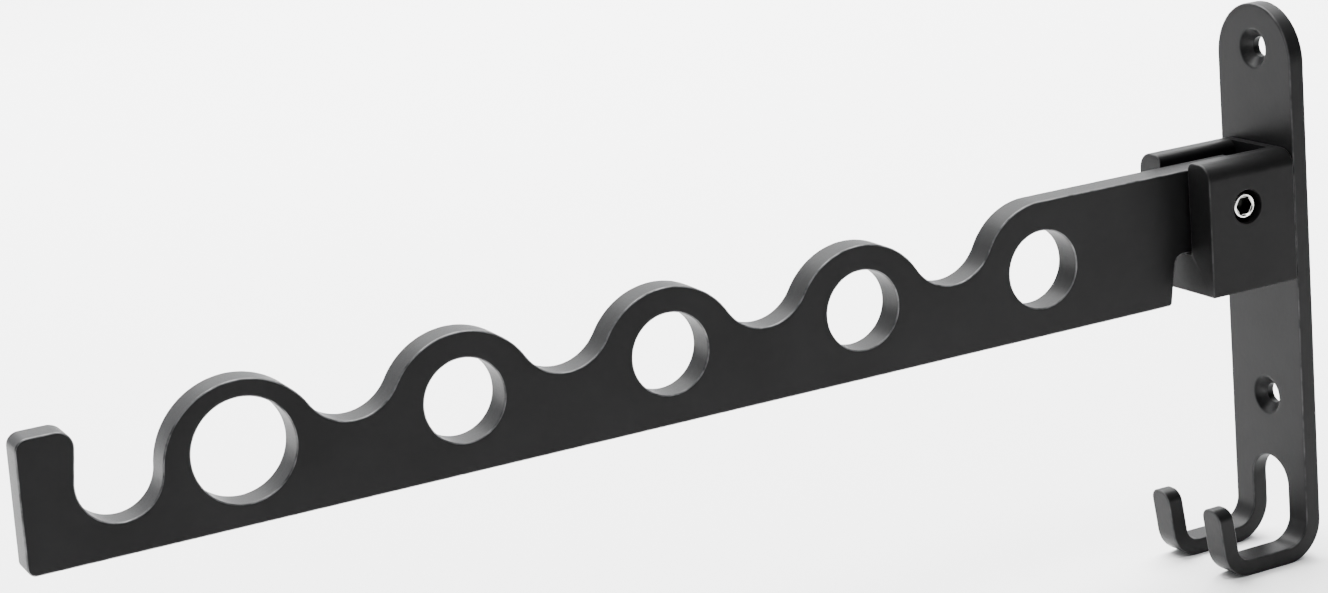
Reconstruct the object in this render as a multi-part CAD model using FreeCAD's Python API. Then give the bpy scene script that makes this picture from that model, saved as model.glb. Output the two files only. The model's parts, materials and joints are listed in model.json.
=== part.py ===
import FreeCAD, Part

import math
import os

# A folding wall hanger arm. A bent back plate carries a double hook at its foot and a clevis
# bracket at its middle. A flat scalloped arm with five holes hangs in the bracket on one
# cross screw: it stands straight out from the wall, and folds up against the plate.
#
# Frame: X runs across the plate, -Y points away from the wall, Z is up. The origin is on the
# wall face, midway between the two wall-screw holes. "Reach" is the distance from the wall.
# All sizes are in millimetres.

# ---- driving dimensions -------------------------------------------------------------------
EDGE_BREAK = 0.4              # rounding of the arm's and the plate's edges
MARGIN = 1.0                  # how far a cutting tool runs past the face it cuts

# back plate
PLATE_WIDTH = 30.0
PLATE_THICK = 4.5
PLATE_TOP = 60.0
WALL_HOLE_SPACING = 96.0
WALL_HOLE_R = 2.75            # clearance for a 5 mm wall screw
WALL_SINK_R = 5.15            # its countersink, on the front face

# double hook at the plate's foot
HOOK_BOTTOM = -91.5
HOOK_HEEL_R = 11.0            # outer radius of the bend under the plate
HOOK_TOE_R = 8.4              # outer radius of the bend under the tips
HOOK_TOE_REACH = 31.3         # where the tips' outer face would meet the hook's underside
HOOK_TIP_TOP = -71.6
HOOK_TIP_LEAN = 7.5           # degrees, away from the wall
HOOK_TIP_CORNER_R = 3.2
PRONG_SLOT_WIDTH = 14.6
PRONG_SLOT_TOP = -65.4

# hinge axis
PIVOT_REACH = 20.0
PIVOT_Z = 10.0

# bracket
BRACKET_REACH = 32.0
BRACKET_BOTTOM = -12.7
BRACKET_TOP = 22.7
BRACKET_SHOULDER_R = 4.6      # outer top corner of each cheek
CHEEK_INNER_R = 2.2           # inner top corner of each cheek
BRACKET_EDGE_BREAK = 0.4
CLEVIS_WIDTH = 11.8           # inner width between the two cheeks

# arm
ARM_THICK = 8.0
ARM_REACH = 345.4
HOLE_LINE_Z = 2.2
HOLE_PITCH = 54.0
HOLE_COUNT = 5
FIRST_HOLE_REACH = 77.3       # the hole nearest the wall
HOLE_R = 10.15
END_HOLE_R = 12.4
ARM_BOTTOM_Z = -15.5
ROOT_TOP_Z = 20.1
BUMP_R = 19.2
BUMP_TOP_Z = 18.8
NOTCH_FLOOR_Z = 3.5
END_NOTCH_Z = 2.2             # centre of the deep notch behind the tip
END_NOTCH_OFFSET = 29.0       # reach from the end hole's centre to that notch's centre
POST_TOP_Z = 15.7
POST_INNER_LEAN = 8.5         # degrees, the retaining lip's lean towards the wall
TIP_LEAN = 2.5                # degrees, the tip's outer face
POST_INNER_CORNER_R = 4.0
POST_OUTER_CORNER_R = 3.0
TIP_FOOT_CORNER_R = 2.0
STEP_FOOT_REACH = 37.5        # the step face, at the arm's lower edge
STEP_HEAD_REACH = 35.6        # the step face, at the tenon
STEP_FOOT_CORNER_R = 1.0
STEP_HEAD_CORNER_R = 2.6
TENON_R = 12.2                # rear end of the tenon, about the hinge axis

# running gaps
STOP_GAP = 0.1                # tenon above the slot's floor, at rest
REAR_GAP = 0.6                # tenon's rear end to the slot's rear wall
WASHER_GAP = 0.05             # arm to each thrust washer
PIN_GAP = 0.05                # radial, hinge screw in the arm and the bracket
FIT_GAP = 0.02                # radial, between threads

# fasteners
HINGE_SHANK_R = 2.5
HINGE_HEAD_R = 3.4
HINGE_HEAD_LENGTH = 5.0
HINGE_HEAD_RECESS = 1.2
HINGE_HEAD_HOLE_R = 4.5
HINGE_SOCKET_FLATS = 4.4
HINGE_SOCKET_DEPTH = 2.6
NUT_FLATS = 8.0
NUT_THICK = 4.7
NUT_RECESS = 0.6
NUT_SIDE_GAP = 0.1
HINGE_END_INSET = 0.9         # screw end below the bracket's far face
WASHER_R = 6.0
SMALL_SCREW_R = 2.0
SMALL_HEAD_R = 3.75
SMALL_HEAD_GAP = 0.1
SMALL_HEAD_RECESS = 0.1
SMALL_SCREW_LENGTH = 13.4
SMALL_SOCKET_FLATS = 2.5
SMALL_SOCKET_DEPTH = 1.6
SMALL_SCREW_X = 9.5
SMALL_SCREW_Z = (-7.7, 16.6)
FASTENER_CHAMFER = 0.4

# ---- values that follow -------------------------------------------------------------------
PLATE_HALF = PLATE_WIDTH / 2
ARM_HALF = ARM_THICK / 2
CLEVIS_HALF = CLEVIS_WIDTH / 2
SLOT_FLOOR_Z = PIVOT_Z - TENON_R - STOP_GAP
SLOT_REAR_REACH = PIVOT_REACH - TENON_R - REAR_GAP
BACK_COUNTERSINK_R = SMALL_HEAD_R + SMALL_HEAD_GAP
SAME_PLACE = 1e-4             # closer than this counts as the same coordinate
SHARP_ANGLE = 30              # degrees between two faces' normals, at a sharp edge
X_AXIS = FreeCAD.Vector(1, 0, 0)
OUTWARD = FreeCAD.Vector(0, -1, 0)


# ---- helpers ------------------------------------------------------------------------------
def point(x, reach, z):
    """A point at this distance from the wall."""
    return FreeCAD.Vector(x, -reach, z)


def side(reach, z):
    """A point of an outline drawn on the plane X = 0."""
    return point(0, reach, z)


def cut_corner(before, corner, after, radius):
    """Start, middle and end of the arc that rounds a corner of an outline."""
    back = (before - corner).normalize()
    ahead = (after - corner).normalize()
    half = back.getAngle(ahead) / 2
    inward = (back + ahead).normalize()
    start = corner + back * (radius / math.tan(half))
    end = corner + ahead * (radius / math.tan(half))
    middle = corner + inward * (radius / math.sin(half) - radius)
    return start, middle, end


def rounded_edges(corners):
    """Edges along an open run of (point, radius) corners; the two ends stay sharp."""
    edges = []
    here = corners[0][0]
    for i in range(1, len(corners) - 1):
        corner, radius = corners[i]
        start, middle, end = cut_corner(corners[i - 1][0], corner, corners[i + 1][0], radius)
        edges.append(Part.LineSegment(here, start).toShape())
        edges.append(Part.Arc(start, middle, end).toShape())
        here = end
    edges.append(Part.LineSegment(here, corners[-1][0]).toShape())
    return edges


def slab(edges, half_width):
    """The solid whose side outline these edges draw, centred on X = 0."""
    face = Part.Face(Part.Wire(Part.sortEdges(edges)[0]))
    face.translate(X_AXIS * -half_width)
    return face.extrude(X_AXIS * 2 * half_width)


def block(x_low, x_high, reach_low, reach_high, z_low, z_high):
    """A box between these limits."""
    return Part.makeBox(x_high - x_low, reach_high - reach_low, z_high - z_low,
                        point(x_low, reach_high, z_low))


def hexagon_bar(centre, axis, flats, length):
    """A hexagonal bar from centre along axis, with a flat on top."""
    flat_side = axis.cross(FreeCAD.Vector(0, 0, 1))
    up = flat_side.cross(axis)
    corner_r = flats / math.sqrt(3)
    corners = []
    for i in range(6):
        angle = math.radians(60 * i)
        corners.append(centre + (flat_side * math.cos(angle) + up * math.sin(angle)) * corner_r)
    corners.append(corners[0])
    return Part.Face(Part.makePolygon(corners)).extrude(axis * length)


def break_edges(solid, radius, chosen):
    """Rounds the edges that chosen(edge) picks."""
    edges = [edge for edge in solid.Edges if chosen(edge)]
    return solid.makeFillet(radius, edges)


def lies_on_x(edge, x):
    """True for an edge that lies all in the plane at this X."""
    box = edge.BoundBox
    return abs(box.XMin - x) < SAME_PLACE and abs(box.XMax - x) < SAME_PLACE


def sharp_edges(solid):
    """The edges whose two faces meet at a sharp angle."""
    owners = {}
    for face in solid.Faces:
        for edge in face.Edges:
            owners.setdefault(edge.hashCode(), [edge, []])[1].append(face)
    sharp = []
    for edge, faces in owners.values():
        if len(faces) != 2:
            continue
        middle = edge.valueAt((edge.FirstParameter + edge.LastParameter) / 2)
        normals = [face.normalAt(*face.Surface.parameter(middle)) for face in faces]
        if normals[0].getAngle(normals[1]) > math.radians(SHARP_ANGLE):
            sharp.append(edge)
    return sharp


# ---- back plate ---------------------------------------------------------------------------
def hook_profile():
    """Side outline of the bent strip, from its top down, round the hook and back."""
    lean = math.radians(HOOK_TIP_LEAN)
    rise = FreeCAD.Vector(0, -math.sin(lean), math.cos(lean))
    toe = side(HOOK_TOE_REACH, HOOK_BOTTOM)
    inward = (side(-1, 0) + rise).normalize()
    inner_toe = toe + inward * (PLATE_THICK / math.sin(side(-1, 0).getAngle(rise) / 2))
    tip_out = toe + rise * ((HOOK_TIP_TOP - HOOK_BOTTOM) / math.cos(lean))
    tip_in = inner_toe + rise * ((HOOK_TIP_TOP - inner_toe.z) / math.cos(lean))
    outer = rounded_edges([
        (side(0, PLATE_TOP), 0),
        (side(0, HOOK_BOTTOM), HOOK_HEEL_R),
        (toe, HOOK_TOE_R),
        (tip_out, 0),
    ])
    inner = rounded_edges([
        (tip_in, 0),
        (inner_toe, HOOK_TOE_R - PLATE_THICK),
        (side(PLATE_THICK, HOOK_BOTTOM + PLATE_THICK), HOOK_HEEL_R - PLATE_THICK),
        (side(PLATE_THICK, PLATE_TOP), 0),
    ])
    tip = Part.LineSegment(tip_out, tip_in).toShape()
    top = Part.LineSegment(side(PLATE_THICK, PLATE_TOP), side(0, PLATE_TOP)).toShape()
    return outer + [tip] + inner + [top]


def plate_blank():
    """The bent strip with its rounded top, the slot between its prongs and its rounded tips."""
    strip = slab(hook_profile(), PLATE_HALF)
    depth = HOOK_TOE_REACH + HOOK_TOE_R
    top_centre = PLATE_TOP - PLATE_HALF
    head = Part.makeCylinder(PLATE_HALF, depth, point(0, 0, top_centre), OUTWARD)
    shank = block(-PLATE_HALF, PLATE_HALF, 0, depth, HOOK_BOTTOM, top_centre)
    strip = strip.common(head.fuse(shank))
    slot_r = PRONG_SLOT_WIDTH / 2
    slot_centre = PRONG_SLOT_TOP - slot_r
    slot_head = Part.makeCylinder(slot_r, depth + MARGIN, point(0, -MARGIN, slot_centre), OUTWARD)
    slot_body = block(-slot_r, slot_r, -MARGIN, depth, HOOK_BOTTOM - MARGIN, slot_centre)
    strip = strip.cut(slot_head.fuse(slot_body)).removeSplitter()

    def tip_corner(edge):
        box = edge.BoundBox
        clear_of_plate = box.YMax < -2 * PLATE_THICK
        return clear_of_plate and box.ZMin > HOOK_TIP_TOP - MARGIN and box.XLength < SAME_PLACE

    return break_edges(strip, HOOK_TIP_CORNER_R, tip_corner)


def back_plate():
    """The plate with its edges broken, then the holes for the wall screws and the bracket's."""
    plate = plate_blank()
    plate = plate.makeFillet(EDGE_BREAK, sharp_edges(plate))
    for z in (-WALL_HOLE_SPACING / 2, WALL_HOLE_SPACING / 2):
        through = Part.makeCylinder(WALL_HOLE_R, PLATE_THICK + 2 * MARGIN,
                                    point(0, -MARGIN, z), OUTWARD)
        sink_depth = WALL_SINK_R - WALL_HOLE_R
        sink = Part.makeCone(WALL_HOLE_R, WALL_SINK_R, sink_depth,
                             point(0, PLATE_THICK - sink_depth, z), OUTWARD)
        plate = plate.cut(through).cut(sink)
    for x, z in small_screw_places():
        through = Part.makeCylinder(SMALL_SCREW_R + SMALL_HEAD_GAP, PLATE_THICK + 2 * MARGIN,
                                    point(x, -MARGIN, z), OUTWARD)
        sink_depth = BACK_COUNTERSINK_R - SMALL_SCREW_R
        sink = Part.makeCone(BACK_COUNTERSINK_R, SMALL_SCREW_R, sink_depth, point(x, 0, z), OUTWARD)
        plate = plate.cut(through).cut(sink)
    return plate


# ---- bracket ------------------------------------------------------------------------------
def small_screw_places():
    """X and Z of the screws that hold the bracket to the plate."""
    places = []
    for x in (-SMALL_SCREW_X, SMALL_SCREW_X):
        for z in SMALL_SCREW_Z:
            places.append((x, z))
    return places


def runs_along_top(edge, half_width):
    """True for an edge on top of a cheek that leads away from the wall, this far from centre."""
    box = edge.BoundBox
    on_top = box.ZMin > BRACKET_TOP - SAME_PLACE
    return on_top and lies_on_x(edge, box.XMin) and abs(abs(box.XMin) - half_width) < SAME_PLACE


def lies_on_rear_wall(edge):
    """True for an edge of the slot's rear wall, which stays sharp."""
    box = edge.BoundBox
    return all(abs(-y - SLOT_REAR_REACH) < SAME_PLACE for y in (box.YMin, box.YMax))


def hinge_bracket():
    """The clevis: a block with a slot open at its top and front, between two rounded cheeks."""
    body = block(-PLATE_HALF, PLATE_HALF, PLATE_THICK, BRACKET_REACH, BRACKET_BOTTOM, BRACKET_TOP)
    slot = block(-CLEVIS_HALF, CLEVIS_HALF, SLOT_REAR_REACH, BRACKET_REACH + MARGIN,
                 SLOT_FLOOR_Z, BRACKET_TOP + MARGIN)
    body = body.cut(slot)
    for half_width, radius in ((PLATE_HALF, BRACKET_SHOULDER_R), (CLEVIS_HALF, CHEEK_INNER_R)):
        body = break_edges(body, radius, lambda edge: runs_along_top(edge, half_width))
    outer_edges = [edge for edge in sharp_edges(body) if not lies_on_rear_wall(edge)]
    body = body.makeFillet(BRACKET_EDGE_BREAK, outer_edges)
    bore = Part.makeCylinder(HINGE_SHANK_R + PIN_GAP, PLATE_WIDTH + 2 * MARGIN,
                             point(-PLATE_HALF - MARGIN, PIVOT_REACH, PIVOT_Z), X_AXIS)
    head_room = HINGE_HEAD_LENGTH + HINGE_HEAD_RECESS
    head_hole = Part.makeCylinder(HINGE_HEAD_HOLE_R, head_room + MARGIN,
                                  point(PLATE_HALF - head_room, PIVOT_REACH, PIVOT_Z), X_AXIS)
    nut_room = NUT_THICK + NUT_RECESS
    nut_hole = hexagon_bar(point(-PLATE_HALF - MARGIN, PIVOT_REACH, PIVOT_Z), X_AXIS,
                           NUT_FLATS + 2 * NUT_SIDE_GAP, nut_room + MARGIN)
    body = body.cut(bore).cut(head_hole).cut(nut_hole)
    for x, z in small_screw_places():
        tapped = Part.makeCylinder(SMALL_SCREW_R + FIT_GAP, SMALL_SCREW_LENGTH,
                                   point(x, PLATE_THICK - MARGIN, z), OUTWARD)
        body = body.cut(tapped)
    return body


# ---- arm ----------------------------------------------------------------------------------
def hole_reach(i):
    """Reach of hole i, counted from the wall."""
    return FIRST_HOLE_REACH + HOLE_PITCH * i


def tangent_point(centre_a, radius_a, centre_b, radius_b):
    """Where two circles that touch from outside meet."""
    return centre_a + (centre_b - centre_a) * (radius_a / (radius_a + radius_b))


def arc_over(centre, radius, start, end, up):
    """The arc about centre from start to end that passes over its top, or under its foot."""
    middle = (start - centre).normalize() + (end - centre).normalize()
    if middle.Length < 0.2 or middle.z * up < 0:
        middle = side(0, up)
    return Part.Arc(start, centre + middle.normalize() * radius, end).toShape()


def scallops():
    """The arm's upper edge from the first hole's crown to the floor of the tip's notch.

    Every bump is an arc about a point under its crown. Every notch is the arc that touches
    both of its neighbours and dips to the notch floor.
    """
    half = HOLE_PITCH / 2
    bump_z = BUMP_TOP_Z - BUMP_R
    drop = NOTCH_FLOOR_Z - bump_z
    notch_r = (drop ** 2 + half ** 2 - BUMP_R ** 2) / (2 * (BUMP_R - drop))
    notch_z = NOTCH_FLOOR_Z + notch_r
    below = notch_z - ROOT_TOP_Z
    root_r = (half ** 2 + below ** 2 - notch_r ** 2) / (2 * (notch_r - below))

    centres = [(side(hole_reach(0), ROOT_TOP_Z - root_r), root_r)]
    for i in range(1, HOLE_COUNT):
        centres.append((side(hole_reach(i) - half, notch_z), notch_r))
        centres.append((side(hole_reach(i), bump_z), BUMP_R))
    end_notch = side(hole_reach(HOLE_COUNT - 1) + END_NOTCH_OFFSET, END_NOTCH_Z)
    end_notch_r = (end_notch - centres[-1][0]).Length - BUMP_R
    centres.append((end_notch, end_notch_r))

    edges = []
    here = side(hole_reach(0), ROOT_TOP_Z)
    for i in range(len(centres) - 1):
        centre, radius = centres[i]
        after, after_r = centres[i + 1]
        there = tangent_point(centre, radius, after, after_r)
        up = 1 if i % 2 == 0 else -1
        edges.append(arc_over(centre, radius, here, there, up))
        here = there
    return edges, here, end_notch, end_notch_r


def arm_outline():
    """The arm's whole side outline."""
    edges, notch_start, notch, notch_r = scallops()
    lean = math.radians(POST_INNER_LEAN)
    lip = notch + side(math.cos(lean), math.sin(lean)) * notch_r
    edges.append(arc_over(notch, notch_r, notch_start, lip, -1))
    lip_top = lip + side(-math.tan(lean), 1) * (POST_TOP_Z - lip.z)
    tip_top_reach = ARM_REACH - math.tan(math.radians(TIP_LEAN)) * (POST_TOP_Z - ARM_BOTTOM_Z)
    tenon_z = PIVOT_Z - TENON_R
    edges += rounded_edges([
        (lip, 0),
        (lip_top, POST_INNER_CORNER_R),
        (side(tip_top_reach, POST_TOP_Z), POST_OUTER_CORNER_R),
        (side(ARM_REACH, ARM_BOTTOM_Z), TIP_FOOT_CORNER_R),
        (side(STEP_FOOT_REACH, ARM_BOTTOM_Z), STEP_FOOT_CORNER_R),
        (side(STEP_HEAD_REACH, tenon_z), STEP_HEAD_CORNER_R),
        (side(PIVOT_REACH, tenon_z), 0),
    ])
    rise = ROOT_TOP_Z - PIVOT_Z
    tenon_top = side(PIVOT_REACH - math.sqrt(TENON_R ** 2 - rise ** 2), ROOT_TOP_Z)
    edges.append(Part.Arc(side(PIVOT_REACH, tenon_z), side(PIVOT_REACH - TENON_R, PIVOT_Z),
                          tenon_top).toShape())
    edges.append(Part.LineSegment(tenon_top, side(hole_reach(0), ROOT_TOP_Z)).toShape())
    return edges


def swing_arm():
    """The flat arm: outline and holes with broken edges, then the hinge bore."""
    arm = slab(arm_outline(), ARM_HALF)
    for i in range(HOLE_COUNT):
        radius = END_HOLE_R if i == HOLE_COUNT - 1 else HOLE_R
        hole = Part.makeCylinder(radius, ARM_THICK + 2 * MARGIN,
                                 point(-ARM_HALF - MARGIN, hole_reach(i), HOLE_LINE_Z), X_AXIS)
        arm = arm.cut(hole)
    faces = (-ARM_HALF, ARM_HALF)
    arm = break_edges(arm, EDGE_BREAK, lambda edge: any(lies_on_x(edge, x) for x in faces))
    bore = Part.makeCylinder(HINGE_SHANK_R + PIN_GAP, ARM_THICK + 2 * MARGIN,
                             point(-ARM_HALF - MARGIN, PIVOT_REACH, PIVOT_Z), X_AXIS)
    return arm.cut(bore)


# ---- fasteners ----------------------------------------------------------------------------
def hinge_screw():
    """Socket-head screw through both cheeks: its smooth shank is the arm's hinge pin."""
    head_face = PLATE_HALF - HINGE_HEAD_RECESS
    head_root = head_face - HINGE_HEAD_LENGTH
    end = -PLATE_HALF + HINGE_END_INSET
    head = Part.makeCylinder(HINGE_HEAD_R, HINGE_HEAD_LENGTH,
                             point(head_root, PIVOT_REACH, PIVOT_Z), X_AXIS)
    shank = Part.makeCylinder(HINGE_SHANK_R, head_root - end, point(end, PIVOT_REACH, PIVOT_Z), X_AXIS)
    screw = head.fuse(shank).removeSplitter()
    ends = (head_face, end)
    screw = screw.makeChamfer(FASTENER_CHAMFER, [edge for edge in screw.Edges
                                                 if any(lies_on_x(edge, x) for x in ends)])
    socket = hexagon_bar(point(head_face - HINGE_SOCKET_DEPTH, PIVOT_REACH, PIVOT_Z), X_AXIS,
                         HINGE_SOCKET_FLATS, HINGE_SOCKET_DEPTH + MARGIN)
    return screw.cut(socket)


def hinge_nut():
    """Lock nut in the far cheek's hexagonal pocket, its corners turned off at both faces."""
    outer = -PLATE_HALF + NUT_RECESS
    nut = hexagon_bar(point(outer, PIVOT_REACH, PIVOT_Z), X_AXIS, NUT_FLATS, NUT_THICK)
    corner_r = NUT_FLATS / math.sqrt(3)
    turned = Part.makeCylinder(corner_r, NUT_THICK, point(outer, PIVOT_REACH, PIVOT_Z), X_AXIS)
    turned = turned.makeChamfer(FASTENER_CHAMFER, [edge for edge in turned.Edges
                                                   if edge.BoundBox.XLength < SAME_PLACE])
    bore = Part.makeCylinder(HINGE_SHANK_R + FIT_GAP, NUT_THICK + 2 * MARGIN,
                             point(outer - MARGIN, PIVOT_REACH, PIVOT_Z), X_AXIS)
    return nut.common(turned).cut(bore)


def thrust_washer(x_low, x_high):
    """A plain ring between the arm and one cheek."""
    start = point(x_low, PIVOT_REACH, PIVOT_Z)
    ring = Part.makeCylinder(WASHER_R, x_high - x_low, start, X_AXIS)
    return ring.cut(Part.makeCylinder(HINGE_SHANK_R + PIN_GAP, x_high - x_low, start, X_AXIS))


def bracket_screws():
    """The four equal countersunk screws, with their heads sunk into the wall face."""
    screws = []
    for x, z in small_screw_places():
        head_length = SMALL_HEAD_R - SMALL_SCREW_R
        head = Part.makeCone(SMALL_HEAD_R, SMALL_SCREW_R, head_length,
                             point(x, SMALL_HEAD_RECESS, z), OUTWARD)
        shank = Part.makeCylinder(SMALL_SCREW_R, SMALL_SCREW_LENGTH,
                                  point(x, SMALL_HEAD_RECESS, z), OUTWARD)
        socket = hexagon_bar(point(x, SMALL_HEAD_RECESS + SMALL_SOCKET_DEPTH, z), FreeCAD.Vector(0, 1, 0),
                             SMALL_SOCKET_FLATS, SMALL_SOCKET_DEPTH + MARGIN)
        screws.append(head.fuse(shank).removeSplitter().cut(socket))
    return Part.makeCompound(screws)


# ---- output -------------------------------------------------------------------------------
washer_inner = ARM_HALF + WASHER_GAP
nodes = {
    "back_plate": back_plate(),
    "hinge_bracket": hinge_bracket(),
    "bracket_screws": bracket_screws(),
    "swing_arm": swing_arm(),
    "hinge_screw": hinge_screw(),
    "hinge_nut": hinge_nut(),
    "washer_right": thrust_washer(washer_inner, CLEVIS_HALF),
    "washer_left": thrust_washer(-CLEVIS_HALF, -washer_inner),
}
os.makedirs("parts", exist_ok=True)
for name, shape in nodes.items():
    shape.exportStep(f"parts/{name}.step")
    print(name, "valid", shape.isValid(), "solids", len(shape.Solids), "volume", round(shape.Volume, 1))
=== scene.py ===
import json
import math

import bmesh
import bpy
from mathutils import Matrix, Vector
from mathutils.geometry import tessellate_polygon


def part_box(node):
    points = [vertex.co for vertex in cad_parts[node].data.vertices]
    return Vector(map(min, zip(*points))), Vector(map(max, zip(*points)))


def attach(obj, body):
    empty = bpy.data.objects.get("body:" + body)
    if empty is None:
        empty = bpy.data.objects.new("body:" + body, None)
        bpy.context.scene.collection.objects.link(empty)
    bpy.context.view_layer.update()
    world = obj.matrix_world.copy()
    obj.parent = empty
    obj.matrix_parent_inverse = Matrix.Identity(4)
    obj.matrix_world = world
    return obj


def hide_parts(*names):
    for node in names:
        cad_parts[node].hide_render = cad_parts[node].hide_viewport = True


# A folding wall hanger arm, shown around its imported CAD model. X runs across the plate, -Y points
# away from the wall, Z is up, and all lengths are in metres. "Reach" is the distance from the
# wall. An outline is drawn in a plane, and always has the outside of the material on its left.

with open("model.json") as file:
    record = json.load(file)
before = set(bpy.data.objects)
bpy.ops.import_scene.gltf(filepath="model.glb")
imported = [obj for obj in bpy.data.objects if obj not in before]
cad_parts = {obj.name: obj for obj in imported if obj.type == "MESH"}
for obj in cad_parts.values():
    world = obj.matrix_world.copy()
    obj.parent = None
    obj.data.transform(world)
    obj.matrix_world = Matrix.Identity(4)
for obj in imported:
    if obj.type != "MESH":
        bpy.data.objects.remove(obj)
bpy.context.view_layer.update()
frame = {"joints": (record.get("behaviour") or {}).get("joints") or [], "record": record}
record = frame["record"]

# ---- places read from the frame ------------------------------------------------------------
plate_low, plate_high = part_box("back_plate")
bracket_low, bracket_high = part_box("hinge_bracket")
arm_low, arm_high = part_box("swing_arm")
screw_low, screw_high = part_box("hinge_screw")
nut_low, nut_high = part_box("hinge_nut")
backs_low, backs_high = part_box("bracket_screws")
pivot = Vector(frame["joints"][0]["pos_m"])
openings = {o["name"]: o["box_m"] for o in record["physics"]["openings"]}
mounts = {m["name"]: m for m in record["mounts"]}

# ---- driving dimensions --------------------------------------------------------------------
RIM_R = 0.0004                 # rounding along the edges of the plate, the bracket and the arm
RIM_STEPS = 5
FLAT_RING = 0.0005             # flat ring kept beside every rounded rim
ARC_STEP = math.radians(3)
TURN_STEPS = 96                # faces round a turned part
SMOOTH_ANGLE = math.radians(32)
CLEAR = 0.002                  # how far a cutting tool runs past the face it cuts
SAME_PLACE = 1e-6              # closer than this counts as the same point
ON_CUT = 1e-7                  # closer than this counts as lying on a cutting plane

# back plate and double hook
PLATE_THICK = 0.0045
WALL_HOLE_R = mounts["wall_screws"]["dims"]["hole_r_mm"] / 1000
WALL_HOLE_Z = mounts["wall_screws"]["dims"]["spacing_y_mm"] / 2000
WALL_SINK_R = 0.00515
HEEL_R = 0.011                 # outer radius of the bend under the plate
TOE_R = 0.0084                 # outer radius of the bend under the tips
TOE_REACH = 0.0313             # where the tips' outer face would meet the hook's underside
TIP_TOP_Z = -0.0716
TIP_LEAN = math.radians(7.5)
TIP_CORNER_R = 0.0032
PRONG_SLOT_R = 0.0073
PRONG_SLOT_TOP_Z = -0.0654

# bracket
SHOULDER_R = 0.0046            # outer top corner of each cheek
CHEEK_INNER_R = 0.0022         # inner top corner of each cheek
FOOT_CORNER_R = 0.0005
SLOT_HALF = 0.0059             # half the slot between the two cheeks
SLOT_FLOOR_Z = -0.0023
SLOT_REAR_REACH = 0.0072
HEAD_HOLE_R = 0.0045

# arm
HOLE_R = 0.01015
END_HOLE_R = 0.0124
BUMP_R = 0.0192
BUMP_TOP_Z = 0.0188
NOTCH_FLOOR_Z = 0.0035
END_NOTCH_OFFSET = 0.029
LIP_LEAN = math.radians(8.5)
POST_TOP_Z = 0.0157
END_LEAN = math.radians(2.5)
POST_INNER_CORNER_R = 0.004
POST_OUTER_CORNER_R = 0.003
END_FOOT_CORNER_R = 0.002
STEP_FOOT_REACH = 0.0375
STEP_HEAD_REACH = 0.0356
STEP_FOOT_CORNER_R = 0.001
STEP_HEAD_CORNER_R = 0.0026
TENON_R = 0.0122

# fasteners
PIN_R = 0.0025
PIN_BORE_R = 0.00255
SCREW_HEAD_R = 0.0034
SCREW_HEAD_LENGTH = 0.005
SOCKET_FLATS = 0.0044
SOCKET_DEPTH = 0.0026
SOCKET_BEVEL = 0.00035         # bevel round the socket's mouth
SCREW_HEAD_SOFT_R = 0.0005     # rounding of the head's outer edge
SCREW_END_R = 0.0019           # the shank's end, inside its bevel
DRILL_CONE = 0.0008            # depth of the drill's point under the socket's floor
DRILL_TIP_R = 0.0002
NUT_FLATS = 0.008
NUT_POCKET_FLATS = 0.0082
NUT_CHAMFER = 0.0004
NUT_COLLAR_R = 0.0034
NUT_COLLAR_DEPTH = 0.0012
WASHER_R = 0.006
BACK_SCREW_R = 0.002
BACK_HEAD_R = 0.00375
BACK_HOLE_R = 0.0021
BACK_SINK_R = 0.00385
BACK_SOCKET_FLATS = 0.0025
BACK_SOCKET_DEPTH = 0.0016
BREAK = 0.00015                # small broken edge round a hole or a fastener
THREAD_GAP = BREAK / 5

plate_half = plate_high.x
arm_half = arm_high.x
hinge_centre = Vector((0, pivot.y, pivot.z))
HINGE_AXIS = Vector((1, 0, 0))
hole_reaches = []
for name in sorted(n for n in openings if n.startswith("arm_hole")):
    low, high = openings[name]
    hole_reaches.append(-(low[1] + high[1]) / 2)
    hole_z = (low[2] + high[2]) / 2
hole_pitch = (hole_reaches[-1] - hole_reaches[0]) / (len(hole_reaches) - 1)
back_screw_x = backs_high.x - BACK_HEAD_R
back_screw_zs = (backs_low.z + BACK_HEAD_R, backs_high.z - BACK_HEAD_R)


# ---- outlines ------------------------------------------------------------------------------
def flat(u, v):
    """A point of an outline's plane."""
    return Vector((u, v, 0))


def arc(centre, radius, start, sweep):
    """Points on a circle from angle start through sweep, both ends included."""
    steps = max(2, math.ceil(abs(sweep) / ARC_STEP))
    points = []
    for i in range(steps + 1):
        angle = start + sweep * i / steps
        points.append(centre + flat(math.cos(angle), math.sin(angle)) * radius)
    return points


def arc_between(centre, start, end, clockwise):
    """The arc about centre from one point to another, in the direction asked for."""
    first, last = start - centre, end - centre
    angle = math.atan2(first.y, first.x)
    sweep = (math.atan2(last.y, last.x) - angle) % math.tau
    if clockwise:
        sweep -= math.tau
    return arc(centre, first.length, angle, sweep)


def rounded(corners):
    """Points along an open run of (point, radius) corners, with an arc at each inner corner."""
    points = [corners[0][0]]
    for i in range(1, len(corners) - 1):
        corner, radius = corners[i]
        back = (corners[i - 1][0] - corner).normalized()
        ahead = (corners[i + 1][0] - corner).normalized()
        half = back.angle(ahead) / 2
        centre = corner + (back + ahead).normalized() * (radius / math.sin(half))
        start = corner + back * (radius / math.tan(half))
        end = corner + ahead * (radius / math.tan(half))
        clockwise = back.cross(ahead).z > 0
        points += arc_between(centre, start, end, clockwise)
    points.append(corners[-1][0])
    return points


def tidy(points):
    """The closed outline without repeated points."""
    kept = []
    for p in points:
        if not kept or (p - kept[-1]).length > SAME_PLACE:
            kept.append(p)
    if (kept[0] - kept[-1]).length < SAME_PLACE:
        kept.pop()
    return kept


def circle(centre, radius):
    """A hole's outline: it turns left, so that the hole is on its left."""
    return tidy(arc(centre, radius, 0, math.tau))


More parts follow.
